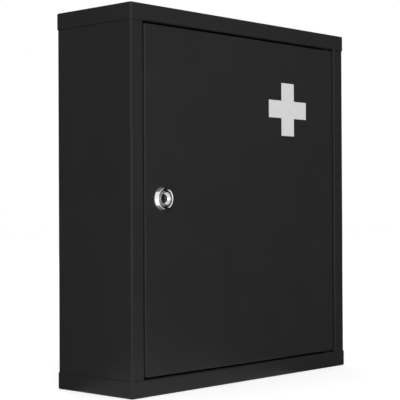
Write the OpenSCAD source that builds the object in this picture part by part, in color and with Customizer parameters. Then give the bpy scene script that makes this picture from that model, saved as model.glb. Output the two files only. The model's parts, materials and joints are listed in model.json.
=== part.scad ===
// Lockable wall cabinet for medicines: a folded steel box with a flush pivot-hung door and a cam lock.
// The origin is the centre of the underside. +Z is up, the door faces -Y and the lock is on the -X side.

/* [Cabinet] */
// Width over the caps
cabinet_w = 323; // [260:1:420]
// Height over the caps
cabinet_h = 360; // [320:5:480]
// Depth over the caps, without the lock
cabinet_d = 103; // [90:1:160]
// Thickness of the steel sheet
sheet_t = 0.8; // [0.6:0.1:1.2]
// Outer radius of every fold in the sheet
bend_r = 1.5; // [1.3:0.1:2]
// Height of the lip that each cap folds over the wrap
cap_lip_h = 15.8; // [12:0.2:22]
// Paint gap between the wrap and the caps
seam_gap = 0.05; // [0.05:0.05:0.3]

/* [Front frame] */
// Width of the two stiles beside the door
stile_w = 15.6; // [12:0.2:24]
// Depth of the hinge-side stile's return, from its front face
return_d = 16; // [10:0.5:18]
// Width of the stop lip behind the door's lock edge
stop_lip_w = 10; // [8:0.5:12]
// Space between the door's back edge and the stop lip
stop_gap = 2.2; // [1.4:0.1:4]
// Depth of the rails above and below the door
rail_d = 14; // [13:0.5:18]

/* [Door] */
// Depth of the door pan
door_d = 13; // [12:0.5:15]
// Width of the lips folded inwards along the door's two upright edges
door_lip_w = 9; // [6:0.5:10]
// Gap above and below the door
door_gap_z = 1.7; // [1.4:0.1:3.5]
// Gap beside the door at the lock
door_gap_lock = 1.4; // [1:0.1:3]
// Gap beside the door at the pivots
door_gap_hinge = 2.6; // [2.4:0.1:4]

/* [Pivots] */
// Distance of the pivot axis from the door's hinge edge
pivot_inset = 8; // [8:0.5:12]
// Distance of the pivot axis behind the door's face
pivot_setback = 6; // [5.5:0.5:7]
// Diameter of the pivot pins
pivot_pin_d = 5; // [4:0.5:5.5]
// Radial running clearance of the pins in their bushes
pivot_clearance = 0.05; // [0.03:0.01:0.1]
// Bevel at the bushes' ends and round the pins' heads
pivot_bevel = 0.5; // [0.2:0.1:0.8]
// Bevel at the pins' points
pin_point = 0.6; // [0.3:0.1:1]
// End play between each bush and the door
pivot_play = 0.3; // [0.2:0.1:0.6]
// Diameter of the bush barrel that fits the rail
bush_barrel_d = 8; // [7.5:0.5:8.5]
// Diameter of the bush collar
bush_collar_d = 10; // [9.5:0.5:11]
// Height of the bush barrel beyond the rail's sheet
bush_barrel_h = 2.5; // [1.5:0.5:5]
// How far the pin stands out past the bush
pin_reach = 1; // [0.5:0.5:3]
// Thickness of the pivot brackets
bracket_t = 2; // [1.5:0.5:3]
// Outer fold radius of the pivot brackets
bracket_r = 3.5; // [3.2:0.1:5]
// Width of the bracket leg that carries the pin
bracket_w = 22; // [18:1:30]
// Height of the bracket leg on the door's edge
bracket_leg_h = 18; // [12:1:30]
// Diameter of the pin's riveted head
pin_head_d = 8; // [7:0.5:8]
// Height of the pin's riveted head
pin_head_h = 1.5; // [1:0.5:3]

/* [Lock] */
// Distance of the lock axis from the door's lock edge
lock_inset = 23.6; // [23:0.2:40]
// Height of the lock axis above the underside
lock_z = 181.5; // [168:0.5:200]
// Diameter of the bezel at the door
bezel_d = 22.8; // [22:0.2:28]
// Height of the bezel's upright foot, below its tapered flank
bezel_foot_h = 0.3; // [0.2:0.1:1]
// How far the flank leans in on its way up to the rim
bezel_taper = 1.6; // [0.8:0.1:1.8]
// Height of the bezel's flat rim above the door
rim_h = 3.9; // [3:0.1:4.4]
// Width from the groove to the bezel's outside, with the tapered flank
rim_w = 2.8; // [2.7:0.1:3.2]
// Radius of the rim's outer edge
rim_round = 0.5; // [0.3:0.1:0.7]
// Height of the groove's floor inside the rim
groove_h = 2.4; // [1.6:0.1:2.8]
// Width of that floor
groove_w = 0.2; // [0.1:0.1:0.8]
// Height of the crown round the plug above the door
crown_h = 3.8; // [3.2:0.1:4.4]
// Width of the crown's level ridge
crown_w = 0.5; // [0.3:0.1:0.8]
// Diameter of the barrel
barrel_d = 19; // [18:0.5:20]
// Distance across the barrel's two flats
barrel_flats = 16; // [15.5:0.5:17]
// Clearance of the barrel in the door and in its nut
barrel_gap = 0.15; // [0.05:0.05:0.3]
// Diameter of the plug's head
plug_head_d = 12.6; // [12:0.2:13.4]
// Thickness of the plug's head at its edge
plug_head_t = 4.4; // [4:0.1:4.7]
// How far the plug's face lies below the crown
plug_sink = 0.3; // [0.2:0.1:0.6]
// Width of the level edge round the dish in the plug's face
dish_edge = 0.4; // [0.3:0.1:1]
// Depth of that dish
dish_depth = 2; // [0.8:0.1:2.2]
// Diameter of the dish's level floor
dish_floor_d = 8; // [5:0.2:9]
// Diameter of the plug's body
plug_d = 11; // [10.4:0.1:11.4]
// Radial running clearance of the plug in the barrel
plug_clearance = 0.06; // [0.03:0.01:0.1]
// Axial play of the plug
plug_play = 0.1; // [0.05:0.05:0.3]
// Width of the keyway
keyway_w = 1.8; // [1.4:0.1:2.4]
// Height of the keyway
keyway_h = 8; // [7:0.1:8.4]
// Depth of the first wafer behind the door's face
wafer_first = 3; // [2.8:0.1:3.4]
// Number of wafers
wafer_count = 5; // [3:1:5]
// Thickness of a wafer
wafer_t = 0.6; // [0.5:0.05:0.8]
// Spacing of the wafers
wafer_pitch = 2; // [1.6:0.1:2.2]
// Width of a wafer
wafer_w = 5.6; // [5:0.2:6]
// Clearance of a wafer in its slot
wafer_gap = 0.1; // [0.05:0.05:0.15]
// Width of the wafers' windows beside the keyway
wafer_window_gap = 0.3; // [0.2:0.05:0.5]
// Height of the wafers' windows
wafer_window_h = 7.5; // [7:0.1:8]
// Size of the square tail that turns the cam
tail_w = 6.6; // [6:0.1:7]
// Thickness of the washer that stops the turn
stop_washer_t = 1.2; // [0.8:0.1:2]
// Width of that washer's ring beyond the plug
stop_ring_w = 0.7; // [0.5:0.1:0.9]
// Length of its tab beyond the ring
stop_tab_l = 1.5; // [1:0.1:1.6]
// How far the barrel's stop wall stays clear of the cam
stop_wall_gap = 0.2; // [0.1:0.1:0.4]
// Length of the cam from the lock axis to its tip
cam_l = 34; // [30:1:36]
// Width of the cam's blade
cam_w = 14; // [10:1:16]
// Radius of the cam's hub
cam_hub_r = 9; // [8.5:0.5:11]
// Radius of the corners at the cam's tip
cam_tip_r = 3; // [1:0.5:4.5]
// Thickness of the cam
cam_t = 2; // [1.5:0.5:2.5]
// Gap between the cam and the back of the stop lip
cam_gap = 0.4; // [0.3:0.1:0.8]
// Angle that the plug turns through
lock_turn = 90; // [60:5:90]
// Wall of the lock nut at its flats
nut_wall = 1.5; // [1.2:0.1:2]
// Thickness of the lock nut
nut_t = 3.5; // [2.5:0.5:5]
// Thickness of the toothed washer under the nut
washer_t = 0.8; // [0.6:0.1:1.2]
// Width of that washer's ring
washer_w = 2.4; // [1.6:0.1:3]
// Length of that washer's teeth
tooth_l = 1; // [0.6:0.1:1.2]
// Width of that washer's teeth
tooth_w = 2.2; // [1.6:0.1:2.6]
// Diameter of the cam screw's thread
screw_d = 4; // [3:0.5:4]
// Diameter of the cam screw's head
screw_head_d = 7.4; // [6.5:0.2:8]
// Height of the cam screw's head
screw_head_h = 2.2; // [1.6:0.2:3]
// Width of the two crossed slots in that head
screw_slot_w = 1; // [0.8:0.1:1.4]
// Depth of those slots
screw_slot_depth = 1.2; // [0.8:0.1:1.4]
// Length of the screw in the plug
screw_l = 6; // [4:0.5:7]
// Diameter of the washer under the screw's head
cam_washer_d = 12; // [11:0.5:14]
// Thickness of that washer
cam_washer_t = 1; // [0.6:0.1:1.4]

/* [Cross] */
// Length of the level bar
cross_bar_w = 61; // [40:0.2:80]
// Height of the level bar
cross_bar_h = 18; // [12:0.5:26]
// Width of the upright bar
cross_post_w = 20.4; // [12:0.2:26]
// Length of the upright bar
cross_post_h = 54.6; // [40:0.2:80]
// Distance of the cross's centre from the door's hinge edge
cross_inset = 77.6; // [50:0.2:120]
// Distance of the cross's centre below the door's top edge
cross_drop = 68.2; // [50:0.2:120]
// Thickness of the cross
cross_t = 0.2; // [0.1:0.1:1]

/* [Shelves] */
// Height of the lower shelf's underside
shelf_lower_z = 124; // [80:1:140]
// Height of the upper shelf's underside
shelf_upper_z = 240; // [225:1:280]
// Distance of the shelves behind the front of the stiles
shelf_setback = 21; // [21:1:40]
// Height of the lip turned down at a shelf's front
shelf_lip_h = 12; // [8:1:20]
// Width of the hem under that lip
shelf_hem_w = 7; // [5:1:12]
// Height of the lip turned up at a shelf's back
shelf_back_h = 9; // [5:1:20]
// Gap between a shelf and the walls
shelf_gap = 0.3; // [0.2:0.1:0.8]
// Thickness of the ledges under the shelves
ledge_t = 1.2; // [1:0.1:1.3]
// Width of a ledge's level leg
ledge_w = 10; // [8:1:14]
// Height of a ledge's upright leg
ledge_h = 10; // [8:1:14]
// Distance from a shelf's edges to the ends of its ledges
ledge_end = 9; // [8:1:16]

/* [Wall holes] */
// Diameter of the holes for the wall screws
wall_hole_d = 7; // [5:0.5:9]
// Distance of the wall holes from the cabinet's sides
wall_hole_inset = 41.5; // [30:0.5:60]
// Distance of the wall holes from the cabinet's top and bottom
wall_hole_drop = 50; // [40:1:60]

/* [Bumpers] */
// Diameter of a bumper's head
bumper_d = 7; // [5:0.5:7]
// Diameter of a bumper's stem
bumper_stem_d = 3; // [2:0.5:3.5]
// How far the stem stands out behind the stop lip
bumper_stem_l = 1.4; // [1:0.1:2]
// Bevel round a bumper's head
bumper_bevel = 0.6; // [0.3:0.1:1]
// How far the stem tapers behind its snap ring
bumper_taper = 0.5; // [0.2:0.1:0.8]
// How far the stem's snap ring stands out of the stem
bumper_snap = 0.4; // [0.2:0.1:0.6]
// Distance of the bumpers from the top and bottom of the door opening
bumper_inset = 45; // [30:1:60]
// Gap between a bumper and the closed door
bumper_gap = 0.3; // [0.2:0.1:0.6]

/* [Hidden] */
$fn = 96;

// How far a cutter runs past the face that it cuts
overcut = 1;
// Corner radius of a folded pan, whose lips wrap a fold of the sheet inside them
corner_r = bend_r + sheet_t;
// Outer faces of the wrap, which lies inside the caps' lips
wrap_x = cabinet_w / 2 - sheet_t - seam_gap;
wrap_y = cabinet_d / 2 - sheet_t - seam_gap;
// The wrap ends short of the folds along the caps' edges
wrap_end = bend_r + seam_gap;
// Inner faces of the side walls and of the back
wall_x = wrap_x - sheet_t;
wall_y = wrap_y - sheet_t;
// Edges of the door opening
opening_x = wrap_x - stile_w;
opening_bottom = cap_lip_h;
opening_top = cabinet_h - cap_lip_h;

// Edges and faces of the door
door_left = -opening_x + door_gap_lock;
door_right = opening_x - door_gap_hinge;
door_bottom = opening_bottom + door_gap_z;
door_top = opening_top - door_gap_z;
door_front = -wrap_y;
door_back = door_front + door_d;
door_w = door_right - door_left;
door_h = door_top - door_bottom;
// Relief left at the ends of a folded return
fold_relief = 0.8;
// Front face of the stop lip
stop_y = door_back + stop_gap;

// Axis of the pivots
pivot_x = door_right - pivot_inset;
pivot_y = door_front + pivot_setback;
bush_bore_d = pivot_pin_d + 2 * pivot_clearance;
bush_collar_h = door_gap_z - pivot_play;
// Clearance of pins, stems and bushes that are fixed in a hole
fixed_gap = 0.05;
// Bracket's inset from the pan's face and from its return lip
bracket_inset = bend_r + 0.3;

// Axis of the lock
lock_x = door_left + lock_inset;
// Distances behind the door's face, where the lock's parts start
cam_face = door_d + stop_gap + sheet_t + cam_gap;
plug_end = cam_face - stop_washer_t;
barrel_l = plug_end - plug_play;
tail_end = cam_face + cam_t - stop_wall_gap;
cam_back = cam_face + cam_t;
// Face of the plug's edge, before the door's face, and the back of its head, in its counterbore
plug_face = crown_h - plug_sink;
plug_head_back = plug_face - plug_head_t;
// Clearance of the stop washer's ring and of the square holes on the tail
tail_gap = 0.05;
// Stop washer: its ring and tab, and the angles of the tab and of the slack beside it
stop_ring_r = plug_d / 2 + stop_ring_w;
stop_tab_r = stop_ring_r + stop_tab_l;
stop_tab_angle = 40;
stop_slack = 2;
// The barrel's stop wall is a little lower than the washer, so that the cam clears it
stop_wall_h = stop_washer_t - stop_wall_gap;

// Centre of the bumpers on the flat of the stop lip
bumper_x = -opening_x + (stop_lip_w + bend_r - sheet_t) / 2;
bumper_head_h = stop_gap - bumper_gap;

shelf_front = -wrap_y + shelf_setback;
shelf_back = wall_y - shelf_gap;

// Turn of a folded section at corner i: 1 to the left, -1 to the right
function turn(corners, i) = sign(cross(corners[i] - corners[i - 1], corners[i + 1] - corners[i]));

// Radius of the fold on the drawn face at corner i, and none at the two ends
function fold_r(corners, i, t, r) =
    i == 0 || i == len(corners) - 1 ? 0 : turn(corners, i) < 0 ? r : r - t;

function heading(run) = atan2(run.y, run.x);

// First quarter of a ring
module quarter_ring(outer_r, t) {
    difference() {
        intersection() {
            circle(outer_r);
            square(outer_r);
        }
        circle(outer_r - t);
    }
}

// Section of a folded sheet. The corners are those of one face before rounding, with the metal on its right.
module folded_section(corners, t = sheet_t, r = bend_r) {
    last = len(corners) - 1;
    for (i = [0 : last - 1]) {
        run = corners[i + 1] - corners[i];
        start = fold_r(corners, i, t, r);
        flat = norm(run) - start - fold_r(corners, i + 1, t, r);
        translate(corners[i]) rotate(heading(run)) translate([start, -t]) square([flat, t]);
    }
    for (i = [1 : last - 1])
        translate(corners[i]) rotate(heading(corners[i] - corners[i - 1])) {
            if (turn(corners, i) < 0)
                translate([-r, -r]) quarter_ring(r, t);
            else
                translate([t - r, r - t]) rotate(-90) quarter_ring(r, t);
        }
}

// Section of a pan's edge, from the axis of its corners outwards
module lip_section(lip) {
    folded_section([[0, 0], [corner_r, 0], [corner_r, -lip]]);
}

// Folded pan with closed round corners: its face is at z = 0 and its lip turns down all round
module pan(w, h, lip) {
    translate([corner_r - w / 2, corner_r - h / 2, -sheet_t])
        cube([w - 2 * corner_r, h - 2 * corner_r, sheet_t]);
    for (quarter = [0 : 3]) {
        across = quarter % 2 == 0 ? w : h;
        along = (quarter % 2 == 0 ? h : w) - 2 * corner_r;
        rotate(90 * quarter) translate([across / 2 - corner_r, 0]) {
            rotate([90, 0, 0]) linear_extrude(along, center = true) lip_section(lip);
            translate([0, along / 2]) rotate_extrude(angle = 90) lip_section(lip);
        }
    }
}

// Return folded inwards from the lower edge of a pan's lip, on the side that faces +X
module lip_return(reach, run, lip, width) {
    rotate([90, 0, 0]) linear_extrude(run, center = true)
        folded_section([[reach, 2 * bend_r - lip], [reach, -lip], [reach - width, -lip]]);
}

// The square edge that such a return takes away from the lip
module lip_edge(reach, run, lip) {
    translate([reach - sheet_t - overcut, -run / 2, -lip - overcut])
        cube([sheet_t + 2 * overcut, run, bend_r + overcut]);
}

// Turns a pan's side that faces +X to the front
module to_front() {
    rotate(-90) children();
}

// Mirror image above half height
module upside_down() {
    translate([0, 0, cabinet_h]) mirror([0, 0, 1]) children();
}

// Lock frame: the axis is z, which points out of the door, and z = 0 is the door's face
module at_lock() {
    translate([lock_x, door_front, lock_z]) rotate([90, 0, 0]) children();
}

// Circle with two flats that face left and right
module double_d(d, flats) {
    intersection() {
        circle(d = d);
        square([flats, d], center = true);
    }
}

// Sector of a disc from angle a to angle b, no wider than 180 degrees on each side of its middle
module sector(r, a, b) {
    steps = ceil((b - a) / 30);
    far = r / cos((b - a) / steps / 2) + overcut;
    polygon([[0, 0], for (i = [0 : steps]) far * [cos(a + (b - a) * i / steps), sin(a + (b - a) * i / steps)]]);
}

// A cap, as the top one: a pan whose front lip folds in to make the rail of the door opening
module cap() {
    rail_run = 2 * (opening_x - seam_gap);
    difference() {
        union() {
            difference() {
                pan(cabinet_w, cabinet_d, cap_lip_h);
                to_front() lip_edge(cabinet_d / 2, rail_run, cap_lip_h);
            }
            to_front() lip_return(cabinet_d / 2, rail_run, cap_lip_h, rail_d);
        }
        translate([pivot_x, pivot_y, -cap_lip_h - overcut])
            cylinder(d = bush_barrel_d + 2 * fixed_gap, h = sheet_t + 2 * overcut);
    }
}

module top_cap() {
    color("#262626") translate([0, 0, cabinet_h]) cap();
}

module bottom_cap() {
    color("#262626") mirror([0, 0, 1]) cap();
}

// One sheet: stop lip, stile, side, back, side, stile and return
module body_wrap() {
    outline = [
        [stop_lip_w - opening_x, stop_y],
        [-opening_x, stop_y],
        [-opening_x, -wrap_y],
        [-wrap_x, -wrap_y],
        [-wrap_x, wrap_y],
        [wrap_x, wrap_y],
        [wrap_x, -wrap_y],
        [opening_x, -wrap_y],
        [opening_x, return_d - wrap_y]
    ];
    hole_x = cabinet_w / 2 - wall_hole_inset;
    color("#262626") difference() {
        translate([0, 0, wrap_end]) linear_extrude(cabinet_h - 2 * wrap_end) folded_section(outline);
        for (x = [-hole_x, hole_x], z = [wall_hole_drop, cabinet_h - wall_hole_drop])
            translate([x, wrap_y + overcut, z]) rotate([90, 0, 0])
                cylinder(d = wall_hole_d, h = sheet_t + 2 * overcut);
        for_bumpers() translate([0, 0, -sheet_t - overcut])
            cylinder(d = bumper_stem_d + 2 * fixed_gap, h = sheet_t + 2 * overcut);
    }
}

// Frame of each bumper: z points at the door from the stop lip's front face
module for_bumpers() {
    for (z = [opening_bottom + bumper_inset, opening_top - bumper_inset])
        translate([bumper_x, stop_y, z]) rotate([90, 0, 0]) children();
}

module door_bumpers() {
    stem_r = bumper_stem_d / 2;
    head_r = bumper_d / 2;
    snap_top = -sheet_t - seam_gap;
    stem_end = -sheet_t - bumper_stem_l;
    color("#1c1c1c") for_bumpers() rotate_extrude() polygon([
        [0, bumper_head_h],
        [head_r - bumper_bevel, bumper_head_h],
        [head_r, bumper_head_h - bumper_bevel],
        [head_r, 0],
        [stem_r, 0],
        [stem_r, snap_top],
        [stem_r + bumper_snap, snap_top - bumper_snap],
        [stem_r - bumper_taper, stem_end],
        [0, stem_end]
    ]);
}

// Shelf with a hemmed lip turned down at the front and a lip turned up at the back
module shelf(z) {
    lip_foot = sheet_t - shelf_lip_h;
    translate([0, 0, z]) rotate([90, 0, 90]) linear_extrude(2 * (wall_x - shelf_gap), center = true)
        folded_section([
            [shelf_back, shelf_back_h],
            [shelf_back, 0],
            [shelf_front + sheet_t, 0],
            [shelf_front + sheet_t, lip_foot],
            [shelf_front + shelf_hem_w, lip_foot]
        ]);
}

module shelf_upper() {
    color("#2b2b2b") shelf(shelf_upper_z);
}

module shelf_lower() {
    color("#2b2b2b") shelf(shelf_lower_z);
}

// Angles on the left wall, one under each shelf
module shelf_ledges() {
    ledge_front = shelf_front + ledge_end;
    ledge_back = shelf_back - ledge_end;
    for (z = [shelf_lower_z, shelf_upper_z])
        translate([0, ledge_back, z]) rotate([90, 0, 0]) linear_extrude(ledge_back - ledge_front)
            folded_section([[-wall_x, -ledge_h], [-wall_x, 0], [ledge_w - wall_x, 0]], ledge_t);
}

module shelf_ledges_left() {
    color("#2b2b2b") shelf_ledges();
}

module shelf_ledges_right() {
    color("#2b2b2b") mirror([1, 0, 0]) shelf_ledges();
}

// Upper bush: its collar hangs below the rail and its barrel stands in it
module pivot_bush() {
    bore_r = bush_bore_d / 2;
    color("#1f1f1f") translate([pivot_x, pivot_y, opening_top]) rotate_extrude() polygon([
        [bore_r, -bush_collar_h],
        [bush_collar_d / 2, -bush_collar_h],
        [bush_collar_d / 2, 0],
        [bush_barrel_d / 2, 0],
        [bush_barrel_d / 2, sheet_t + bush_barrel_h - pivot_bevel],
        [bush_barrel_d / 2 - pivot_bevel, sheet_t + bush_barrel_h],
        [bore_r, sheet_t + bush_barrel_h]
    ]);
}

module pivot_bush_upper() {
    pivot_bush();
}

module pivot_bush_lower() {
    upside_down() pivot_bush();
}

// Door pan with lips along its two upright edges
module door_panel() {
    lip_run = door_h - 2 * (corner_r + fold_relief);
    color("#292929") difference() {
        translate([(door_left + door_right) / 2, door_front, (door_bottom + door_top) / 2]) rotate([90, 0, 0]) {
            difference() {
                pan(door_w, door_h, door_d);
                for (side = [0, 180])
                    rotate(side) lip_edge(door_w / 2, lip_run, door_d);
            }
            for (side = [0, 180])
                rotate(side) lip_return(door_w / 2, lip_run, door_d, door_lip_w);
        }
        at_lock() translate([0, 0, -sheet_t - overcut]) linear_extrude(sheet_t + 2 * overcut)
            double_d(barrel_d + 2 * barrel_gap, barrel_flats + 2 * barrel_gap);
        for (z = [door_bottom, door_top - sheet_t])
            translate([pivot_x, pivot_y, z - overcut])
                cylinder(d = pivot_pin_d + 2 * fixed_gap, h = sheet_t + 2 * overcut);
    }
}

module cross_emblem() {
    color("#d6d6d4") translate([door_right - cross_inset, door_front, door_top - cross_drop]) rotate([90, 0, 0])
        linear_extrude(cross_t) {
            square([cross_bar_w, cross_bar_h], center = true);
            square([cross_post_w, cross_post_h], center = true);
        }
}

// Upper bracket: an angle in the door's corner that carries the pin
module pivot_bracket() {
    top = door_top - sheet_t;
    side = door_right - sheet_t;
    color("#9a9da0") difference() {
        translate([0, door_back - bracket_inset, 0]) rotate([90, 0, 0])
            linear_extrude(door_d - 2 * bracket_inset) folded_section([
                [side - bracket_w, top],
                [side, top],
                [side, top - bracket_leg_h]
            ], bracket_t, bracket_r);
        translate([pivot_x, pivot_y, top - bracket_t - overcut])
            cylinder(d = pivot_pin_d + 2 * fixed_gap, h = bracket_t + 2 * overcut);
    }
}

module pivot_bracket_upper() {
    pivot_bracket();
}

module pivot_bracket_lower() {
    upside_down() pivot_bracket();
}

// Upper pin, riveted under its bracket
module pivot_pin() {
    head_z = door_top - sheet_t - bracket_t;
    tip_z = opening_top + sheet_t + bush_barrel_h + pin_reach;
    pin_r = pivot_pin_d / 2;
    color("#b4b7ba") translate([pivot_x, pivot_y, 0]) rotate_extrude() polygon([
        [0, head_z - pin_head_h],
        [pin_head_d / 2 - pivot_bevel, head_z - pin_head_h],
        [pin_head_d / 2, head_z - pin_head_h + pivot_bevel],
        [pin_head_d / 2, head_z],
        [pin_r, head_z],
        [pin_r, tip_z - pin_point],
        [pin_r - pin_point, tip_z],
        [0, tip_z]
    ]);
}

module pivot_pin_upper() {
    pivot_pin();
}

module pivot_pin_lower() {
    upside_down() pivot_pin();
}

// Bezel with a flat rim, a groove and a cone up to the crown round the plug, and a barrel with two flats
module lock_housing() {
    bezel_r = bezel_d / 2;
    rim_r = bezel_r - rim_w;
    lean = atan(bezel_taper / (rim_h - bezel_foot_h));
    edge_z = rim_h - rim_round;
    edge_r = bezel_r - (edge_z - bezel_foot_h) * tan(lean) - rim_round / cos(lean);
    bore_r = plug_d / 2 + plug_clearance;
    seat_r = plug_head_d / 2 + plug_clearance;
    stop_gap_from = -stop_tab_angle / 2 - stop_slack;
    stop_gap_to = lock_turn + stop_tab_angle / 2 + stop_slack;
    color("#c9ccd0") at_lock() difference() {
        union() {
            rotate_extrude() {
                polygon([
                    [0, 0],
                    [bezel_r, 0],
                    [bezel_r, bezel_foot_h],
                    [edge_r + rim_round * cos(lean), edge_z + rim_round * sin(lean)],
                    [edge_r, rim_h],
                    [rim_r, rim_h],
                    [rim_r, groove_h],
                    [rim_r - groove_w, groove_h],
                    [seat_r + crown_w, crown_h],
                    [0, crown_h]
                ]);
                translate([edge_r, edge_z]) circle(rim_round);
            }
            translate([0, 0, -barrel_l]) linear_extrude(barrel_l) double_d(barrel_d, barrel_flats);
            translate([0, 0, -barrel_l - stop_wall_h]) linear_extrude(stop_wall_h) difference() {
                double_d(barrel_d, barrel_flats);
                circle(stop_ring_r + 2 * tail_gap);
                sector(barrel_d / 2, stop_gap_from, stop_gap_to);
            }
        }
        translate([0, 0, -barrel_l - overcut]) cylinder(r = bore_r, h = barrel_l + crown_h + 2 * overcut);
        translate([0, 0, plug_head_back - plug_play]) cylinder(r = seat_r, h = plug_head_t + plug_sink + overcut);
    }
}

// Washer with inner teeth, behind the door's sheet
module lock_washer() {
    bore_r = barrel_d / 2 + barrel_gap;
    color("#b4b7ba") at_lock() translate([0, 0, -sheet_t - washer_t]) linear_extrude(washer_t) difference() {
        circle(bore_r + washer_w);
        circle(bore_r);
        for (a = [0 : 30 : 330])
            rotate(a) translate([0, -tooth_w / 2]) square([bore_r + tooth_l, tooth_w]);
    }
}

module lock_nut() {
    bore_d = barrel_d + 2 * barrel_gap;
    color("#b4b7ba") at_lock() translate([0, 0, -sheet_t - washer_t - nut_t]) difference() {
        cylinder(d = (bore_d + 2 * nut_wall) / cos(30), h = nut_t, $fn = 6);
        translate([0, 0, -overcut]) cylinder(d = bore_d, h = nut_t + 2 * overcut);
    }
}

// Depth of wafer i behind the door's face
function wafer_z(i) = -wafer_first - wafer_pitch * i;

// Plug with a dished head, a keyway, a slot for each wafer and a square tail for the cam
module lock_plug() {
    head_r = plug_head_d / 2;
    edge_bevel = 0.2;
    keyway_end = wafer_z(wafer_count);
    color("#8d9196") at_lock() difference() {
        union() {
            rotate_extrude() polygon([
                [0, -plug_end],
                [plug_d / 2, -plug_end],
                [plug_d / 2, plug_head_back],
                [head_r, plug_head_back],
                [head_r, plug_face - edge_bevel],
                [head_r - edge_bevel, plug_face],
                [head_r - dish_edge, plug_face],
                [dish_floor_d / 2, plug_face - dish_depth],
                [0, plug_face - dish_depth]
            ]);
            translate([-tail_w / 2, -tail_w / 2, -tail_end]) cube([tail_w, tail_w, tail_end - plug_end]);
        }
        translate([0, 0, keyway_end]) linear_extrude(plug_face - keyway_end + overcut) {
            square([keyway_w, keyway_h], center = true);
            translate([keyway_w / 2, 0.2 * keyway_h]) square([keyway_w, 0.2 * keyway_h], center = true);
        }
        for (i = [0 : wafer_count - 1])
            translate([0, 0, wafer_z(i)])
                cube([wafer_w + 2 * wafer_gap, plug_d + overcut, wafer_t + wafer_gap], center = true);
        translate([0, 0, -tail_end - overcut])
            cylinder(d = screw_d + 2 * fixed_gap, h = screw_l + 2 * overcut);
    }
}

// Wafers drawn in, each with a window for the key at its own height
module lock_wafers() {
    wafer_shift = 0.5;
    color("#b89a4e") at_lock() for (i = [0 : wafer_count - 1])
        translate([0, 0, wafer_z(i) - wafer_t / 2]) linear_extrude(wafer_t) difference() {
            intersection() {
                square([wafer_w, plug_d], center = true);
                circle(d = plug_d - 4 * wafer_gap);
            }
            translate([0, wafer_shift * sin(140 * i)])
                square([keyway_w + 2 * wafer_window_gap, wafer_window_h], center = true);
        }
}

// Washer whose tab meets the ends of the barrel's wall and so limits the turn
module stop_washer() {
    color("#b4b7ba") at_lock() translate([0, 0, -cam_face]) linear_extrude(stop_washer_t) difference() {
        union() {
            circle(stop_ring_r);
            intersection() {
                circle(stop_tab_r);
                sector(stop_tab_r, lock_turn - stop_tab_angle / 2, lock_turn + stop_tab_angle / 2);
            }
        }
        square(tail_w + 2 * tail_gap, center = true);
    }
}

// Cam that points down when it is unlocked
module lock_cam() {
    tip_x = cam_w / 2 - cam_tip_r;
    color("#b4b7ba") at_lock() translate([0, 0, -cam_back]) linear_extrude(cam_t) difference() {
        union() {
            circle(cam_hub_r);
            translate([-cam_w / 2, cam_tip_r - cam_l]) square([cam_w, cam_l - cam_tip_r]);
            translate([-tip_x, -cam_l]) square([2 * tip_x, cam_tip_r]);
            for (x = [-tip_x, tip_x])
                translate([x, cam_tip_r - cam_l]) circle(cam_tip_r);
        }
        square(tail_w + 2 * tail_gap, center = true);
    }
}

module cam_washer() {
    color("#b4b7ba") at_lock() translate([0, 0, -cam_back - cam_washer_t]) linear_extrude(cam_washer_t)
        difference() {
            circle(d = cam_washer_d);
            circle(d = screw_d + 2 * fixed_gap);
        }
}

module cam_screw() {
    seat = -cam_back - cam_washer_t;
    color("#b4b7ba") at_lock() difference() {
        union() {
            translate([0, 0, seat - screw_head_h]) cylinder(d = screw_head_d, h = screw_head_h);
            translate([0, 0, seat]) cylinder(d = screw_d, h = cam_washer_t + screw_l);
        }
        for (a = [0, 90])
            rotate(a) translate([-screw_head_d / 4, -screw_slot_w / 2, seat - screw_head_h - overcut])
                cube([screw_head_d / 2, screw_slot_w, overcut + screw_slot_depth]);
    }
}

body_wrap();
top_cap();
bottom_cap();
shelf_upper();
shelf_lower();
shelf_ledges_left();
shelf_ledges_right();
pivot_bush_upper();
pivot_bush_lower();
door_bumpers();
door_panel();
cross_emblem();
pivot_bracket_upper();
pivot_bracket_lower();
pivot_pin_upper();
pivot_pin_lower();
lock_housing();
lock_washer();
lock_nut();
lock_plug();
lock_wafers();
stop_washer();
lock_cam();
cam_washer();
cam_screw();
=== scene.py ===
# Looks of the lockable medicine cabinet: satin black powder coat, a chrome cam lock and a pale cross.
import json
import math

import bmesh
import bpy
from mathutils import Matrix, Vector


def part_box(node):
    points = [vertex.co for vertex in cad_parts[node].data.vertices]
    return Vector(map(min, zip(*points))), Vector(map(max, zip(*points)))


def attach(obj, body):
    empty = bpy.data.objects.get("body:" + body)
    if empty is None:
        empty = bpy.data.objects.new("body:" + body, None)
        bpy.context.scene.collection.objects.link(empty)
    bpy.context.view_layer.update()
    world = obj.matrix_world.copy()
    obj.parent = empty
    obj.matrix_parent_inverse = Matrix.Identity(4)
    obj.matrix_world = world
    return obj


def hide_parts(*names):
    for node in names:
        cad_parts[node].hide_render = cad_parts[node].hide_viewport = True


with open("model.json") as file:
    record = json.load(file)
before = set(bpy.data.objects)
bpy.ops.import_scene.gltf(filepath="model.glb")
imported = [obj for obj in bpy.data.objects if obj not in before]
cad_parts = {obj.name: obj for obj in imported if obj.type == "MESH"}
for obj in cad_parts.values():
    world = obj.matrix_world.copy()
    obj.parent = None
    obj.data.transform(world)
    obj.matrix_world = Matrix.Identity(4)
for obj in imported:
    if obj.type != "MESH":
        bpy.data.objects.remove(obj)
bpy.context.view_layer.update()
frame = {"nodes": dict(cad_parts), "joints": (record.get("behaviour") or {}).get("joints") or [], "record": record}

scene = bpy.context.scene
record = frame["record"]
joints = {joint["name"]: joint for joint in frame["joints"]}
body_of_node = {}
for body, nodes in record["behaviour"]["bodies"].items():
    body_of_node.update({node: body for node in nodes})

MM = 0.001
CABINET_MIDDLE = Vector((0, 0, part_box("top_cap")[1].z / 2))

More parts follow.
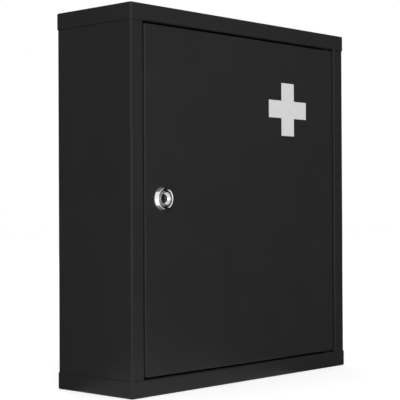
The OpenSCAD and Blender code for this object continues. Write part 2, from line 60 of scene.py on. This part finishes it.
# The camera of the photograph. Its aim is the middle of the cabinet, moved by AIM_RIGHT and AIM_UP.
PHOTO_SIDE = 400
FOCAL_LENGTH_PX = 1205
VIEW_AZIMUTH = math.radians(47.15)
VIEW_RISE = math.radians(0.4)
VIEW_ROLL = math.radians(-0.27)
VIEW_DISTANCE = 1.2397
AIM_RIGHT = -10.3 * MM
AIM_UP = 0.95 * MM
NEAREST_SEEN = 0.05

# The studio, in metres and degrees. Azimuth 0 is straight in front of the cabinet and 90 is at +X.
AMBIENT = 0.45
CLOTH_R = 2.5
CLOTH_H = 3.5
CLOTH_END = 260
CLOTH_STEPS = 48
CLOTH_BLACK = (0.01, 0.01, 0.01, 1)
WALL_CLOTH_START = 32
FLOOR_CLOTH_START = 8
FLOOR_CLOTH_INNER_R = 0.1
FLOOR_CLOTH_Z = -0.05 * MM
FLOOR_Z = -0.1 * MM
FLOOR_REACH = 7
FLOOR_PALE = (0.82, 0.82, 0.82, 1)

# Glow of the floor where it is seen, near the cabinet and far from it
GLOW_NEAR = 0.49
GLOW_NEAR_R = 0.2
GLOW_FAR = 0.62
GLOW_FAR_R = 1.5

# Patterns of the finishes, in features to the metre
SHEET_WAVES = 14
COAT_CLOUDS = 28
COAT_GLOSS = 60
COAT_WEAR_AND_HIGHLIGHT = 110
COAT_PEEL = 850
FILM_CLOUDS = 120
FILM_GLOSS = 300
PLATING_CLOUDS = 90
PLATING_GRAIN = 1400
MOULDED_CLOUDS = 200
MOULDED_GLOSS = 900
MOULDED_GRAIN = 2600

# Rounding of cut edges, as paint or tumbling leaves them
SHEET_EDGE = 0.14 * MM
FITTING_EDGE = 0.12 * MM
SMALL_EDGE = 0.1 * MM
PLUG_EDGE = 0.08 * MM
THIN_EDGE = 0.05 * MM
EDGE_STEPS = 2
SHARP_ANGLE = math.radians(30)
FLAT_ANGLE = math.radians(0.2)

# Distances under which points are merged, or count as on a cutting plane
NEAR = 0.001 * MM
NEAR_ON_THREAD = 0.002 * MM
NEAR_PLANE = 0.0001 * MM

# The lock's own frame: z runs along its axis and out of the door, from the door's face
LOCK_PLACE = Vector(joints["lock_turn"]["pos_m"])
LOCK_FRAME = Matrix.Translation(LOCK_PLACE) @ Matrix.Rotation(math.radians(90), 4, "X")
housing_low, housing_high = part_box("lock_housing")
plug_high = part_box("lock_plug")[1]
stop_washer_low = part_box("stop_washer")[0]
nut_low, nut_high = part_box("lock_nut")
TURNED_STEPS = 144
ROUNDING_STEPS = 5

# Bores of the lock's housing
PLUG_CLEARANCE = 0.06 * MM
PLUG_R = 5.5 * MM
BORE_R = PLUG_R + PLUG_CLEARANCE
PLUG_SEAT_R = plug_high.x - LOCK_PLACE.x + PLUG_CLEARANCE
PLUG_SEAT_DEPTH = 1 * MM

# Bezel of the lock: a tapered flank, a rim that falls to both sides of its crest, a groove and a cone
BEZEL_R = (housing_high.x - housing_low.x) / 2
FOOT_H = 0.3 * MM
FOOT_ROUND = 0.15 * MM
TAPER = 1.6 * MM
RIM_H = LOCK_PLACE.y - housing_low.y
RIM_W = 2.8 * MM
RIM_CREST_IN = 0.35 * MM
RIM_CREST_ROUND = 0.15 * MM
RIM_FALL_IN = 0.35 * MM
RIM_FALL_OUT = 0.1 * MM
RIM_ROUND_IN = 0.3 * MM
RIM_ROUND_OUT = 0.7 * MM
GROOVE_H = 2.4 * MM
GROOVE_W = 0.2 * MM
GROOVE_ROUND_IN = 0.1 * MM
GROOVE_ROUND_OUT = 0.08 * MM
CROWN_H = 3.8 * MM
CROWN_W = 0.5 * MM
CROWN_ROUND_IN = 0.1 * MM
CROWN_ROUND_OUT = 0.18 * MM

# Barrel of the lock, and the low wall at its back that stops the washer's tab
STOP_WALL_H = 1 * MM
STOP_WALL_GAP = 0.1 * MM
STOP_WALL_R = LOCK_PLACE.z - stop_washer_low.z + STOP_WALL_GAP
STOP_WALL_FROM = math.radians(112)
STOP_WALL_TO = math.radians(338)
STOP_WALL_STEPS = 72
BARREL_R = 9.5 * MM
BARREL_FLATS = 16 * MM
BARREL_L = housing_high.y - LOCK_PLACE.y - STOP_WALL_H
THREAD_PITCH = 1 * MM
THREAD_DEPTH = 0.45 * MM
THREAD_FOOT = 0.12
THREAD_CREST = 0.44
THREAD_SPARE_TURNS = 3

# Nut of the lock
NUT_FRONT = LOCK_PLACE.y - nut_low.y
NUT_BACK = LOCK_PLACE.y - nut_high.y
NUT_FLATS = nut_high.z - nut_low.z
NUT_GAP = 0.15 * MM
NUT_BORE_R = BARREL_R + NUT_GAP
NUT_BORE_CHAMFER = 0.4 * MM
NUT_CHAMFER_H = 0.8 * MM
NUT_CHAMFER_W = 1.2 * MM


# Camera, world, lights and floor

def photo_camera():
    data = bpy.data.cameras.new("photo_camera")
    data.lens = FOCAL_LENGTH_PX / PHOTO_SIDE * data.sensor_width
    data.clip_start = NEAREST_SEEN
    ahead = Vector((
        math.sin(VIEW_AZIMUTH) * math.cos(VIEW_RISE),
        math.cos(VIEW_AZIMUTH) * math.cos(VIEW_RISE),
        math.sin(VIEW_RISE),
    ))
    level = Vector((math.cos(VIEW_AZIMUTH), -math.sin(VIEW_AZIMUTH), 0))
    upright = level.cross(ahead)
    right = math.cos(VIEW_ROLL) * level + math.sin(VIEW_ROLL) * upright
    up = math.cos(VIEW_ROLL) * upright - math.sin(VIEW_ROLL) * level
    turn = Matrix((right, up, -ahead)).transposed()
    place = CABINET_MIDDLE + AIM_RIGHT * level + AIM_UP * upright - VIEW_DISTANCE * ahead
    camera = bpy.data.objects.new("photo_camera", data)
    scene.collection.objects.link(camera)
    camera.matrix_world = Matrix.Translation(place) @ turn.to_4x4()
    scene.camera = camera


def background_mask(tree):
    """A value of 1 for rays that should meet the white background: from the camera, metal and glass."""
    rays = tree.nodes.new("ShaderNodeLightPath")
    seen = tree.nodes.new("ShaderNodeMath")
    seen.operation = "MAXIMUM"
    tree.links.new(rays.outputs["Is Camera Ray"], seen.inputs[0])
    tree.links.new(rays.outputs["Is Glossy Ray"], seen.inputs[1])
    mask = tree.nodes.new("ShaderNodeMath")
    mask.operation = "MAXIMUM"
    tree.links.new(seen.outputs[0], mask.inputs[0])
    tree.links.new(rays.outputs["Is Transmission Ray"], mask.inputs[1])
    return mask.outputs[0]


def white_surroundings():
    """A world that is plain white where it is seen, and weaker as light."""
    world = bpy.data.worlds.new("white_surroundings")
    scene.world = world
    world.use_nodes = True
    world.cycles.sampling_method = "NONE"
    tree = world.node_tree
    tree.nodes.clear()
    soft = tree.nodes.new("ShaderNodeBackground")
    soft.inputs["Color"].default_value = (1, 1, 1, 1)
    soft.inputs["Strength"].default_value = AMBIENT
    white = tree.nodes.new("ShaderNodeBackground")
    white.inputs["Color"].default_value = (1, 1, 1, 1)
    white.inputs["Strength"].default_value = 1
    mix = tree.nodes.new("ShaderNodeMixShader")
    output = tree.nodes.new("ShaderNodeOutputWorld")
    tree.links.new(background_mask(tree), mix.inputs["Fac"])
    tree.links.new(soft.outputs[0], mix.inputs[1])
    tree.links.new(white.outputs[0], mix.inputs[2])
    tree.links.new(mix.outputs[0], output.inputs["Surface"])


def studio_material(name):
    """A material with only its output node."""
    material = bpy.data.materials.new(name)
    material.use_nodes = True
    tree = material.node_tree
    tree.nodes.clear()
    output = tree.nodes.new("ShaderNodeOutputMaterial")
    return material, tree, output


def stage_object(name, bm, material):
    """Makes an object of a mesh, with its material, and links it to the scene."""
    mesh = bpy.data.meshes.new(name)
    bm.to_mesh(mesh)
    bm.free()
    mesh.materials.append(material)
    thing = bpy.data.objects.new(name, mesh)
    scene.collection.objects.link(thing)
    return thing


def towards_cabinet(azimuth, rise, distance):
    """A place round the cabinet's middle, turned to face it."""
    azimuth, rise = math.radians(azimuth), math.radians(rise)
    outwards = Vector((
        math.sin(azimuth) * math.cos(rise),
        -math.cos(azimuth) * math.cos(rise),
        math.sin(rise),
    ))
    place = Matrix.Translation(CABINET_MIDDLE + outwards * distance)
    return place @ outwards.to_track_quat("Z", "Y").to_matrix().to_4x4()


def soft_lamp(name, azimuth, rise, distance, width, height, radiance, mirrored=False):
    """An area lamp. Only a mirrored one shows in reflections."""
    data = bpy.data.lights.new(name, "AREA")
    data.shape = "RECTANGLE"
    data.size = width
    data.size_y = height
    data.energy = radiance * math.pi * width * height
    lamp = bpy.data.objects.new(name, data)
    scene.collection.objects.link(lamp)
    lamp.matrix_world = towards_cabinet(azimuth, rise, distance)
    lamp.visible_glossy = mirrored


def black_cloth(name, section, start):
    """Cloth hung round the cabinet from an azimuth on, which only reflections show.

    The section is a run of (radius, height) points.
    """
    bm = bmesh.new()
    verts = [bm.verts.new((0, -radius, height)) for radius, height in section]
    edges = [bm.edges.new((verts[i], verts[i + 1])) for i in range(len(verts) - 1)]
    to_start = Matrix.Rotation(math.radians(start), 3, "Z")
    bmesh.ops.rotate(bm, verts=bm.verts, cent=(0, 0, 0), matrix=to_start)
    bmesh.ops.spin(
        bm, geom=verts + edges, cent=(0, 0, 0), axis=(0, 0, 1),
        angle=math.radians(CLOTH_END - start), steps=CLOTH_STEPS,
    )
    material, tree, output = studio_material(name)
    black = tree.nodes.new("ShaderNodeBsdfDiffuse")
    black.inputs["Color"].default_value = CLOTH_BLACK
    tree.links.new(black.outputs[0], output.inputs["Surface"])
    cloth = stage_object(name, bm, material)
    cloth.visible_camera = False
    cloth.visible_diffuse = False
    cloth.visible_shadow = False


def pale_floor():
    """A floor that is matt for light and white where it is seen, a little more so far from the cabinet."""
    bm = bmesh.new()
    bmesh.ops.create_grid(bm, x_segments=1, y_segments=1, size=FLOOR_REACH)
    material, tree, output = studio_material("pale_floor")
    matt = tree.nodes.new("ShaderNodeBsdfDiffuse")
    matt.inputs["Color"].default_value = FLOOR_PALE
    place = tree.nodes.new("ShaderNodeTexCoord")
    distance = tree.nodes.new("ShaderNodeVectorMath")
    distance.operation = "LENGTH"
    tree.links.new(place.outputs["Object"], distance.inputs[0])
    level = between(tree, distance.outputs["Value"], GLOW_NEAR, GLOW_FAR, GLOW_NEAR_R, GLOW_FAR_R)
    glow = tree.nodes.new("ShaderNodeEmission")
    tree.links.new(level, glow.inputs["Strength"])
    unlit = tree.nodes.new("ShaderNodeEmission")
    unlit.inputs["Strength"].default_value = 0
    choice = tree.nodes.new("ShaderNodeMixShader")
    both = tree.nodes.new("ShaderNodeAddShader")
    tree.links.new(background_mask(tree), choice.inputs["Fac"])
    tree.links.new(unlit.outputs[0], choice.inputs[1])
    tree.links.new(glow.outputs[0], choice.inputs[2])
    tree.links.new(matt.outputs[0], both.inputs[0])
    tree.links.new(choice.outputs[0], both.inputs[1])
    tree.links.new(both.outputs[0], output.inputs["Surface"])
    floor = stage_object("floor", bm, material)
    floor.matrix_world = Matrix.Translation((0, 0, FLOOR_Z))


# Finishes

def blank_finish(name, **sockets):
    """A material with its main shader, whose sockets are set by name."""
    material = bpy.data.materials.new(name)
    material.use_nodes = True
    shader = material.node_tree.nodes["Principled BSDF"]
    for socket, value in sockets.items():
        shader.inputs[socket.replace("_", " ")].default_value = value
    return material, material.node_tree, shader


def pattern(tree, per_metre, detail):
    """Noise on the piece's own coordinates."""
    place = tree.nodes.new("ShaderNodeTexCoord")
    noise = tree.nodes.new("ShaderNodeTexNoise")
    noise.inputs["Scale"].default_value = per_metre
    noise.inputs["Detail"].default_value = detail
    tree.links.new(place.outputs["Object"], noise.inputs["Vector"])
    return noise.outputs["Fac"]


def between(tree, value, low, high, start=0.3, end=0.7):
    """Maps a value onto the span from low to high. Start and end are a pattern's usual extremes."""
    span = tree.nodes.new("ShaderNodeMapRange")
    span.inputs["From Min"].default_value = start
    span.inputs["From Max"].default_value = end
    span.inputs["To Min"].default_value = low
    span.inputs["To Max"].default_value = high
    tree.links.new(value, span.inputs["Value"])
    return span.outputs["Result"]


def blend(tree, share, first, second):
    """Colour that goes from first to second with the share. Each is a colour or a node's output."""
    mix = tree.nodes.new("ShaderNodeMix")
    mix.data_type = "RGBA"
    for socket, colour in (("A", first), ("B", second)):
        if isinstance(colour, tuple):
            mix.inputs[socket].default_value = (*colour, 1)
        else:
            tree.links.new(colour, mix.inputs[socket])
    tree.links.new(share, mix.inputs["Factor"])
    return mix.outputs["Result"]


def product(tree, first, second):
    times = tree.nodes.new("ShaderNodeMath")
    times.operation = "MULTIPLY"
    tree.links.new(first, times.inputs[0])
    tree.links.new(second, times.inputs[1])
    return times.outputs[0]


def relief(tree, height, depth, strength=1.0, under=None):
    """Bump of the given depth in metres, laid over another bump if there is one."""
    bump = tree.nodes.new("ShaderNodeBump")
    bump.inputs["Strength"].default_value = strength
    bump.inputs["Distance"].default_value = depth
    tree.links.new(height, bump.inputs["Height"])
    if under is not None:
        tree.links.new(under, bump.inputs["Normal"])
    return bump.outputs["Normal"]


def shaded(colour, share):
    """The colour, darker below a share of 1 and paler above it."""
    return tuple(c * share for c in colour)


def worn_and_highlit_edges(tree, colour, worn_and_highlit, reach):
    """The colour, gone over to a lighter one along the piece's edges, in places: partly edge wear, partly a
    painted highlight on the edges.
    """
    rounded = tree.nodes.new("ShaderNodeBevel")
    rounded.samples = 4
    rounded.inputs["Radius"].default_value = reach
    surface = tree.nodes.new("ShaderNodeNewGeometry")
    turn = tree.nodes.new("ShaderNodeVectorMath")
    turn.operation = "DOT_PRODUCT"
    tree.links.new(rounded.outputs["Normal"], turn.inputs[0])
    tree.links.new(surface.outputs["Normal"], turn.inputs[1])
    edge = between(tree, turn.outputs["Value"], 1, 0, start=0.8, end=0.98)
    patches = between(tree, pattern(tree, COAT_WEAR_AND_HIGHLIGHT, 3), 0, 1, start=0.35, end=0.65)
    return blend(tree, product(tree, edge, patches), colour, worn_and_highlit)


def powder_coat(name, colour):
    """Satin black powder coat: an orange peel of about a millimetre over a slightly uneven sheet."""
    material, tree, shader = blank_finish(name, Specular_IOR_Level=0.14)
    cloud = between(tree, pattern(tree, COAT_CLOUDS, 3), 0, 1)
    coat = blend(tree, cloud, shaded(colour, 0.9), colour)
    # Lighter edges in places: partly wear, partly a painted highlight.
    coat = worn_and_highlit_edges(tree, coat, shaded(colour, 1.7), 0.4 * MM)
    tree.links.new(coat, shader.inputs["Base Color"])
    gloss = between(tree, pattern(tree, COAT_GLOSS, 4), 0.36, 0.44)
    tree.links.new(gloss, shader.inputs["Roughness"])
    sheet = relief(tree, pattern(tree, SHEET_WAVES, 1), 0.12 * MM)
    peel = relief(tree, pattern(tree, COAT_PEEL, 2), 0.035 * MM, 0.8, sheet)
    tree.links.new(peel, shader.inputs["Normal"])
    return material


def pale_film(name, colour):
    """Matt self-adhesive film that takes the paint's peel faintly."""
    material, tree, shader = blank_finish(name, Specular_IOR_Level=0.3)
    cloud = between(tree, pattern(tree, FILM_CLOUDS, 3), 0, 1)
    tree.links.new(blend(tree, cloud, shaded(colour, 0.97), colour), shader.inputs["Base Color"])
    gloss = between(tree, pattern(tree, FILM_GLOSS, 3), 0.42, 0.5)
    tree.links.new(gloss, shader.inputs["Roughness"])
    peel = relief(tree, pattern(tree, COAT_PEEL, 2), 0.02 * MM, 0.6)
    tree.links.new(peel, shader.inputs["Normal"])
    return material


def plated(name, colour, shadow, smooth, rough):
    """Plated metal, cloudy in its colour and finely marked in its gloss."""
    material, tree, shader = blank_finish(name, Metallic=1.0)
    cloud = between(tree, pattern(tree, PLATING_CLOUDS, 4), 0, 1)
    tree.links.new(blend(tree, cloud, shadow, colour), shader.inputs["Base Color"])
    gloss = between(tree, pattern(tree, PLATING_GRAIN, 3), smooth, rough)
    tree.links.new(gloss, shader.inputs["Roughness"])
    grain = relief(tree, pattern(tree, PLATING_GRAIN, 2), 0.004 * MM, 0.5)
    tree.links.new(grain, shader.inputs["Normal"])
    return material


def painted_recess_shade(finish, inner_r, outer_r, recess_shade_colour, fade):
    """Darkens the plating's colour in the recess between two radii round the lock's axis: a painted shade in the
    groove.
    """
    tree = finish.node_tree
    shader = tree.nodes["Principled BSDF"]
    place = tree.nodes.new("ShaderNodeTexCoord")
    outwards = tree.nodes.new("ShaderNodeVectorMath")
    outwards.operation = "SUBTRACT"
    outwards.inputs[1].default_value = LOCK_PLACE
    tree.links.new(place.outputs["Object"], outwards.inputs[0])
    across = tree.nodes.new("ShaderNodeVectorMath")
    across.operation = "MULTIPLY"
    across.inputs[1].default_value = (1, 0, 1)
    tree.links.new(outwards.outputs["Vector"], across.inputs[0])
    radius = tree.nodes.new("ShaderNodeVectorMath")
    radius.operation = "LENGTH"
    tree.links.new(across.outputs["Vector"], radius.inputs[0])
    past_crown = between(tree, radius.outputs["Value"], 0, 1, inner_r - fade, inner_r + fade)
    before_rim = between(tree, radius.outputs["Value"], 1, 0, outer_r - fade, outer_r + fade)
    bright = shader.inputs["Base Color"].links[0].from_socket
    colour = blend(tree, product(tree, past_crown, before_rim), bright, recess_shade_colour)
    tree.links.new(colour, shader.inputs["Base Color"])


def moulded(name, colour, shadow, smooth, rough, level):
    """Moulded nylon or rubber with a fine spark-eroded grain."""
    material, tree, shader = blank_finish(name, Specular_IOR_Level=level)
    cloud = between(tree, pattern(tree, MOULDED_CLOUDS, 3), 0, 1)
    tree.links.new(blend(tree, cloud, shadow, colour), shader.inputs["Base Color"])
    gloss = between(tree, pattern(tree, MOULDED_GLOSS, 3), smooth, rough)
    tree.links.new(gloss, shader.inputs["Roughness"])
    grain = relief(tree, pattern(tree, MOULDED_GRAIN, 2), 0.01 * MM, 0.6)
    tree.links.new(grain, shader.inputs["Normal"])
    return material


# Making a mesh a piece

def shade_evenly(piece, smooth_angle):
    """Smooth bends and crisp edges, with the flat faces left flat."""
    piece.data.shade_smooth()
    piece.data.set_sharp_from_angle(angle=math.radians(smooth_angle))
    even = piece.modifiers.new("even_shading", "WEIGHTED_NORMAL")
    even.keep_sharp = True


def add_piece(name, bm, node, finish, smooth_angle=25):
    """Makes a finished mesh a piece that stands for its node and rides on the node's body."""
    mesh = bpy.data.meshes.new(name)
    bm.to_mesh(mesh)
    bm.free()
    mesh.materials.append(finish)
    piece = bpy.data.objects.new(name, mesh)
    scene.collection.objects.link(piece)
    shade_evenly(piece, smooth_angle)
    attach(piece, body_of_node[node])
    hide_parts(node)


def dress_node(node, finish, edge_round):
    """A merged copy of a node with its cut edges rounded."""
    bm = bmesh.new()
    bm.from_mesh(frame["nodes"][node].data)
    bmesh.ops.remove_doubles(bm, verts=bm.verts, dist=NEAR)
    bmesh.ops.dissolve_limit(bm, angle_limit=FLAT_ANGLE, verts=bm.verts, edges=bm.edges)
    sharp = [edge for edge in bm.edges if edge.is_manifold and edge.calc_face_angle() > SHARP_ANGLE]
    bmesh.ops.bevel(
        bm, geom=sharp, offset=edge_round, offset_type="OFFSET", segments=EDGE_STEPS, profile=0.5,
        affect="EDGES", clamp_overlap=False, material=-1,
    )
    add_piece(node + "_finished", bm, node, finish)


# Turning and cutting

def fillet(before, corner, after, radius):
    """Points of a round corner between two straight runs of a profile."""
    if radius == 0:
        return [corner]
    back = (before - corner).normalized()
    on = (after - corner).normalized()
    half = back.angle(on) / 2
    reach = radius / math.tan(half)
    centre = corner + (back + on).normalized() * (radius / math.sin(half))
    first = corner + back * reach - centre
    last = corner + on * reach - centre
    sweep = first.angle_signed(last)
    turns = [Matrix.Rotation(-sweep * i / ROUNDING_STEPS, 2) for i in range(ROUNDING_STEPS + 1)]
    return [centre + turn @ first for turn in turns]


def rounded_profile(corners):
    """Open profile from (radius, height, rounding) corners, as (radius, height) points."""
    points = [Vector((r, z)) for r, z, _ in corners]
    outline = [points[0]]
    for i in range(1, len(points) - 1):
        outline += fillet(points[i - 1], points[i], points[i + 1], corners[i][2])
    outline.append(points[-1])
    return outline


def turn_profile(bm, profile, closed=False):
    """Spins a profile of (radius, height) points about the axis."""
    verts = [bm.verts.new((r, 0, z)) for r, z in profile]
    edges = [bm.edges.new((verts[i], verts[i + 1])) for i in range(len(verts) - 1)]
    if closed:
        edges.append(bm.edges.new((verts[-1], verts[0])))
    bmesh.ops.spin(
        bm, geom=verts + edges, cent=(0, 0, 0), axis=(0, 0, 1), angle=2 * math.pi,
        steps=TURNED_STEPS, use_merge=True,
    )


def cut_flat(bm, place, outwards):
    """Takes away what lies past a plane, and closes the cut."""
    everything = bm.verts[:] + bm.edges[:] + bm.faces[:]
    cut = bmesh.ops.bisect_plane(
        bm, geom=everything, dist=NEAR_PLANE, plane_co=place, plane_no=outwards, clear_outer=True,
    )
    rim = [item for item in cut["geom_cut"] if isinstance(item, bmesh.types.BMEdge)]
    bmesh.ops.holes_fill(bm, edges=rim, sides=0)


def cut_barrel_flats(bm):
    for side in (-1, 1):
        cut_flat(bm, (side * BARREL_FLATS / 2, 0, 0), (side, 0, 0))


def set_in_door(bm):
    """Moves a lock part from the lock's own frame to its place."""
    bmesh.ops.transform(bm, matrix=LOCK_FRAME, verts=bm.verts)
    bmesh.ops.recalc_face_normals(bm, faces=bm.faces)


def join_meshes(parts):
    """One mesh from several closed ones."""
    whole = bmesh.new()
    for part in parts:
        mesh = bpy.data.meshes.new("part")
        part.to_mesh(mesh)
        part.free()
        whole.from_mesh(mesh)
        bpy.data.meshes.remove(mesh)
    return whole


# The lock's housing and nut

def rim_edges(bm, height):
    """The open edges at a height along the lock's axis."""
    open_edges = [edge for edge in bm.edges if edge.is_boundary]
    return [edge for edge in open_edges if all(abs(v.co.z - height) < NEAR for v in edge.verts)]


def threaded_barrel():
    """The barrel's helical thread, cut by two flats and open at both ends."""
    bm = bmesh.new()
    root = BARREL_R - THREAD_DEPTH
    profile = []
    for i in range(math.ceil(BARREL_L / THREAD_PITCH) + THREAD_SPARE_TURNS):
        foot = THREAD_PITCH - i * THREAD_PITCH
        profile += [
            (root, foot - THREAD_FOOT * THREAD_PITCH),
            (BARREL_R, foot - THREAD_CREST * THREAD_PITCH),
            (BARREL_R, foot - (1 - THREAD_CREST) * THREAD_PITCH),
            (root, foot - (1 - THREAD_FOOT) * THREAD_PITCH),
        ]
    verts = [bm.verts.new((r, 0, z)) for r, z in profile]
    edges = [bm.edges.new((verts[i], verts[i + 1])) for i in range(len(verts) - 1)]
    bmesh.ops.spin(
        bm, geom=verts + edges, cent=(0, 0, 0), axis=(0, 0, 1), angle=2 * math.pi,
        dvec=(0, 0, THREAD_PITCH / TURNED_STEPS), steps=TURNED_STEPS,
    )
    bmesh.ops.remove_doubles(bm, verts=bm.verts, dist=NEAR_ON_THREAD)
    cut_flat(bm, (0, 0, 0), (0, 0, 1))
    cut_flat(bm, (0, 0, -BARREL_L), (0, 0, -1))
    cut_barrel_flats(bm)
    ends = [face for face in bm.faces if abs(face.normal.z) > 0.999]
    bmesh.ops.delete(bm, geom=ends, context="FACES_ONLY")
    return bm


def stop_wall():
    """The low wall at the barrel's back, whose two ends stop the washer's tab."""
    bm = bmesh.new()
    low = -BARREL_L - STOP_WALL_H
    section = [(STOP_WALL_R, low), (BARREL_R, low), (BARREL_R, -BARREL_L), (STOP_WALL_R, -BARREL_L)]
    face = bm.faces.new([bm.verts.new((r, 0, z)) for r, z in section])
    to_start = Matrix.Rotation(STOP_WALL_FROM, 3, "Z")
    bmesh.ops.rotate(bm, verts=bm.verts, cent=(0, 0, 0), matrix=to_start)
    bmesh.ops.spin(
        bm, geom=[face], cent=(0, 0, 0), axis=(0, 0, 1), angle=STOP_WALL_TO - STOP_WALL_FROM,
        steps=STOP_WALL_STEPS,
    )
    bmesh.ops.remove_doubles(bm, verts=bm.verts, dist=NEAR)
    cut_barrel_flats(bm)
    return bm


def lock_housing(chrome):
    """Bezel, bored and threaded barrel and stop wall, as one casting."""
    body = threaded_barrel()
    rim_r = BEZEL_R - RIM_W
    edge_r = BEZEL_R - TAPER
    turn_profile(body, rounded_profile([
        (BORE_R, -BARREL_L, 0),
        (BORE_R, -PLUG_SEAT_DEPTH, 0),
        (PLUG_SEAT_R, -PLUG_SEAT_DEPTH, 0),
        (PLUG_SEAT_R, CROWN_H, CROWN_ROUND_IN),
        (PLUG_SEAT_R + CROWN_W, CROWN_H, CROWN_ROUND_OUT),
        (rim_r - GROOVE_W, GROOVE_H, GROOVE_ROUND_IN),
        (rim_r, GROOVE_H, GROOVE_ROUND_OUT),
        (rim_r, RIM_H - RIM_FALL_IN, RIM_ROUND_IN),
        (edge_r - RIM_CREST_IN, RIM_H, RIM_CREST_ROUND),
        (edge_r, RIM_H - RIM_FALL_OUT, RIM_ROUND_OUT),
        (BEZEL_R, FOOT_H, FOOT_ROUND),
        (BEZEL_R, 0, 0),
    ]))
    for height in (0, -BARREL_L):
        bmesh.ops.bridge_loops(body, edges=rim_edges(body, height))
    whole = join_meshes([body, stop_wall()])
    set_in_door(whole)
    add_piece("lock_bezel_and_barrel", whole, "lock_housing", chrome, smooth_angle=28)


def lock_nut(zinc):
    """Nut turned from a bar with chamfered ends, then cut to six flats."""
    bm = bmesh.new()
    corner_r = NUT_FLATS / 2 / math.cos(math.pi / 6)
    turn_profile(bm, [
        (NUT_BORE_R + NUT_BORE_CHAMFER, NUT_FRONT),
        (corner_r - NUT_CHAMFER_W, NUT_FRONT),
        (corner_r, NUT_FRONT - NUT_CHAMFER_H),
        (corner_r, NUT_BACK + NUT_CHAMFER_H),
        (corner_r - NUT_CHAMFER_W, NUT_BACK),
        (NUT_BORE_R + NUT_BORE_CHAMFER, NUT_BACK),
        (NUT_BORE_R, NUT_BACK + NUT_BORE_CHAMFER),
        (NUT_BORE_R, NUT_FRONT - NUT_BORE_CHAMFER),
    ], closed=True)
    for i in range(6):
        angle = math.pi / 6 + i * math.pi / 3
        outwards = Vector((math.cos(angle), math.sin(angle), 0))
        cut_flat(bm, outwards * (NUT_FLATS / 2), outwards)
    set_in_door(bm)
    add_piece("lock_nut_cut", bm, "lock_nut", zinc, smooth_angle=12)


# Setting up the studio

photo_camera()
white_surroundings()
soft_lamp("key_lamp", azimuth=-48, rise=26, distance=3.2, width=1.9, height=1.9, radiance=4.9)
soft_lamp(
    "camera_side_lamp", azimuth=-47, rise=6, distance=3, width=0.65, height=1.5, radiance=3.9,
    mirrored=True,
)
soft_lamp("fill_lamp", azimuth=40, rise=10, distance=2.3, width=1.2, height=1.2, radiance=1.5)
soft_lamp("back_lamp", azimuth=155, rise=30, distance=3, width=1.6, height=1.6, radiance=2)
black_cloth("wall_cloth", [(CLOTH_R, 0), (CLOTH_R, CLOTH_H)], WALL_CLOTH_START)
black_cloth(
    "floor_cloth", [(FLOOR_CLOTH_INNER_R, FLOOR_CLOTH_Z), (CLOTH_R, FLOOR_CLOTH_Z)], FLOOR_CLOTH_START,
)
pale_floor()

# The finishes, each with its two shades and the span of its roughness

black = powder_coat("black_powder_coat", colour=(0.0192, 0.0192, 0.0197))
film = pale_film("pale_grey_film", colour=(0.66, 0.66, 0.655))
chrome = plated(
    "polished_chrome", colour=(0.8, 0.81, 0.82), shadow=(0.76, 0.77, 0.79), smooth=0.06, rough=0.1,
)
# Painted shade: the chrome's colour is darkened in the groove between the crown and the rim.
painted_recess_shade(chrome, PLUG_SEAT_R + CROWN_W, BEZEL_R - RIM_W, recess_shade_colour=(0.2, 0.2, 0.21), fade=0.1 * MM)
nickel = plated(
    "plug_nickel", colour=(0.66, 0.67, 0.66), shadow=(0.56, 0.57, 0.56), smooth=0.12, rough=0.2,
)
zinc = plated(
    "bright_zinc", colour=(0.56, 0.57, 0.59), shadow=(0.44, 0.45, 0.46), smooth=0.28, rough=0.4,
)
dark_steel = plated(
    "blackened_steel", colour=(0.12, 0.12, 0.125), shadow=(0.07, 0.07, 0.073), smooth=0.32, rough=0.44,
)
brass = plated(
    "stamped_brass", colour=(0.68, 0.52, 0.25), shadow=(0.55, 0.41, 0.18), smooth=0.24, rough=0.36,
)
nylon = moulded(
    "black_nylon", colour=(0.012, 0.012, 0.012), shadow=(0.008, 0.008, 0.008), smooth=0.5, rough=0.62,
    level=0.12,
)
rubber = moulded(
    "black_rubber", colour=(0.022, 0.022, 0.022), shadow=(0.015, 0.015, 0.015), smooth=0.6, rough=0.8,
    level=0.3,
)

# The pieces

for node in ("body_wrap", "top_cap", "bottom_cap", "door_panel"):
    dress_node(node, black, SHEET_EDGE)
for node in ("shelf_upper", "shelf_lower", "shelf_ledges_left", "shelf_ledges_right"):
    dress_node(node, black, SHEET_EDGE)
dress_node("cross_emblem", film, THIN_EDGE)
for node in ("pivot_bush_upper", "pivot_bush_lower"):
    dress_node(node, nylon, SMALL_EDGE)
dress_node("door_bumpers", rubber, SMALL_EDGE)
for node in ("pivot_bracket_upper", "pivot_bracket_lower", "lock_washer", "stop_washer", "lock_cam"):
    dress_node(node, zinc, FITTING_EDGE)
for node in ("cam_washer", "cam_screw"):
    dress_node(node, zinc, SMALL_EDGE)
for node in ("pivot_pin_upper", "pivot_pin_lower"):
    dress_node(node, dark_steel, SMALL_EDGE)
dress_node("lock_plug", nickel, PLUG_EDGE)
dress_node("lock_wafers", brass, THIN_EDGE)
lock_housing(chrome)
lock_nut(zinc)

scene.view_settings.view_transform = "Standard"
